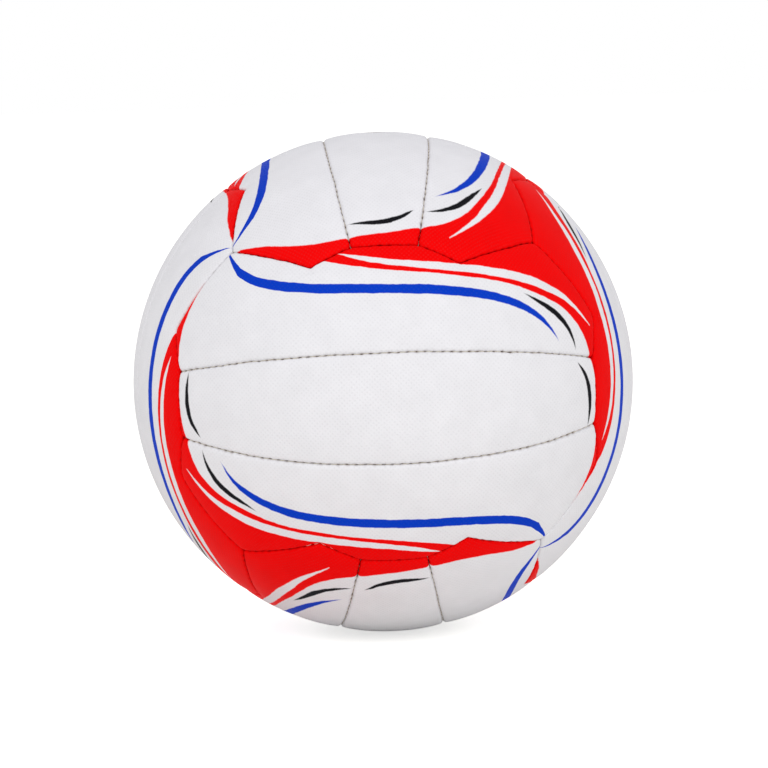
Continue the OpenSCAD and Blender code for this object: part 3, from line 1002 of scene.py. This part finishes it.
# How far a direction lies inside the red field of a group's print, as a share of its span
def redField(group, direction):
    along, across = printMap(group, (groupAxes(group) @ direction)[None])[0]
    first = printLook["firstTurn"]
    turn = ((cornerTurn() - math.atan2(across, along)) / math.pi - first) % 1 + first
    places, rings = zip(*edgePoints(fieldEdge))
    ring = (along ** 4 + across ** 4) ** 0.25
    return ring - np.interp(math.sqrt(turn + printLook["spread"]), places, rings)


redMargin = 0.01  # how near to the red field a stitch counts as beside it


def stitchPlaces(start, end, group, beside):
    whole, normal = angleBetween(start, end), unit(np.cross(start, end))
    side = np.cross(normal, start)
    count = stitchesOn(whole)
    between = beside != group
    rows = []
    for number in range(count):
        turn = (number + 0.5) / count * whole
        place = groupAxes(group).T @ (math.cos(turn) * start + math.sin(turn) * side)
        direction = groupAxes(group).T @ (math.cos(turn) * side - math.sin(turn) * start)
        red = max(redField(group, place), redField(beside, place)) > -redMargin
        if between:
            buried = buriedDepth["border"] + red * buriedDepth["red"]
        else:
            buried = red * buriedDepth["panels"]
        rows.append((place, direction, whole / count * ballRadius, buried, red and between))
    return rows


def seamStitches(name, paths, group, beside):
    rows = []
    for path in paths:
        for start, end in zip(path, path[1:]):
            rows += stitchPlaces(start, end, group, beside)
    places, directions, lengths, buried, loose = (np.array(column) for column in zip(*rows))
    piece = addMesh(name, (places * ballRadius).tolist(), [])
    addAttribute(piece.data, "seamDirection", directions, "FLOAT_VECTOR")
    for label, values in (("stitchLength", lengths), ("buried", buried), ("loose", loose)):
        addAttribute(piece.data, label, values)
    runTree(piece, stitchTree, {**stitchLook, "Seed": len(rows) + len(name), "Material": thread})
    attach(piece, "ball")
    return piece


inner = [mirrored * seamEnd, seamEnd]
for group, row in groups.items():
    paths = [inner, [halfTurned * p for p in inner]]
    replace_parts(seamStitches(f"stitches_{group}_panels", paths, group, group), f"thread_{group}_panels")
    for beside, turn in ((row[5], np.ones(3)), (row[6], halfTurned)):
        piece = seamStitches(f"stitches_{group}_to_{beside}", [[turn * p for p in longSeam]], group, beside)
        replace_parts(piece, f"thread_{group}_to_{beside}")
print("stitches made")


# The stand, the light and the camera
studio = {
    "floorSize": 60.0,
    "floorWhite": (0.96, 0.955, 0.91, 1.0),
    "floorLift": 0.63,  # of plain white that only the eye sees, so the floor meets the backdrop
    "worldStrength": 0.66,
    "lamps": [
        {"name": "key", "place": (-1.2, -2.2, 2.2), "size": 1.6, "power": 24.5},
        {"name": "fill", "place": (2.2, -1.6, 1.2), "size": 1.6, "power": 11},
        {"name": "low", "place": (0.3, -2.6, 0.1), "size": 0.8, "power": 6.5},
    ],
}


def seenPlainly(tree):
    path = addNode(tree, "ShaderNodeLightPath").outputs
    seen = calc("ADD", path["Is Camera Ray"], path["Is Glossy Ray"])
    return calc("MINIMUM", calc("ADD", seen, path["Is Transmission Ray"]), 1.0)


def buildFloor():
    half, low = studio["floorSize"] / 2, -ballRadius
    corners = [(-half, -half, low), (half, -half, low), (half, half, low), (-half, half, low)]
    floor = addMesh("floor", corners, [(0, 1, 2, 3)])
    material, tree, shader = newMaterial("pale_floor")
    tree.nodes.remove(shader)
    matte = addNode(tree, "ShaderNodeBsdfDiffuse", {"Color": studio["floorWhite"]})
    lift = calc("MULTIPLY", seenPlainly(tree), studio["floorLift"])
    glow = addNode(tree, "ShaderNodeEmission", {"Strength": lift})
    both = addNode(tree, "ShaderNodeAddShader", (matte.outputs[0], glow.outputs[0]))
    tree.links.new(both.outputs[0], tree.nodes["Material Output"].inputs["Surface"])
    floor.data.materials.append(material)


def buildLight():
    world = bpy.data.worlds.new("studio")
    bpy.context.scene.world = world
    world.use_nodes = True
    tree = world.node_tree
    strength = remap(seenPlainly(tree), 0.0, 1.0, studio["worldStrength"], 1.0)
    tree.links.new(strength, tree.nodes["Background"].inputs["Strength"])
    tree.nodes["Background"].inputs["Color"].default_value = (1.0, 1.0, 1.0, 1.0)
    for lamp in studio["lamps"]:
        light = bpy.data.lights.new(lamp["name"], "AREA")
        light.shape = "DISK"
        light.size = lamp["size"]
        light.energy = lamp["power"]
        holder = addObject(lamp["name"], light)
        holder.location = lamp["place"]
        holder.rotation_euler = holder.location.to_track_quat("Z", "Y").to_euler()


# The photograph's view: angles in degrees, distance in ball radii, the rest in its pixels
cameraView = {"azimuth": -1.5, "elevation": 6.04, "roll": 1.84, "distance": 11.4,
              "picture": 768, "ballCentre": (383.2, 381.4), "ballSize": 250.0, "film": 36.0}


def buildCamera():
    azimuth, elevation, roll = (math.radians(cameraView[k]) for k in ("azimuth", "elevation", "roll"))
    aside, ahead = math.sin(azimuth) * math.cos(elevation), math.cos(azimuth) * math.cos(elevation)
    back = np.array([aside, -ahead, math.sin(elevation)])
    level = np.array([math.cos(azimuth), math.sin(azimuth), 0])
    upright = np.cross(back, level)
    right = level * math.cos(roll) - upright * math.sin(roll)
    up = upright * math.cos(roll) + level * math.sin(roll)
    lens = bpy.data.cameras.new("camera")
    away, picture = cameraView["distance"], cameraView["picture"]
    lens.sensor_width = cameraView["film"]
    lens.lens = cameraView["ballSize"] * math.sqrt(away * away - 1) / picture * cameraView["film"]
    lens.shift_x = (picture / 2 - cameraView["ballCentre"][0]) / picture
    lens.shift_y = (cameraView["ballCentre"][1] - picture / 2) / picture
    camera = addObject("camera", lens)
    place = (back * away * ballRadius).tolist()
    rows = [[*axes, part] for axes, part in zip(np.stack([right, up, back], 1).tolist(), place)]
    camera.matrix_world = Matrix([*rows, [0, 0, 0, 1]])
    bpy.context.scene.camera = camera


buildFloor()
buildLight()
buildCamera()
bpy.context.scene.view_settings.view_transform = "Standard"
print("studio and camera set")
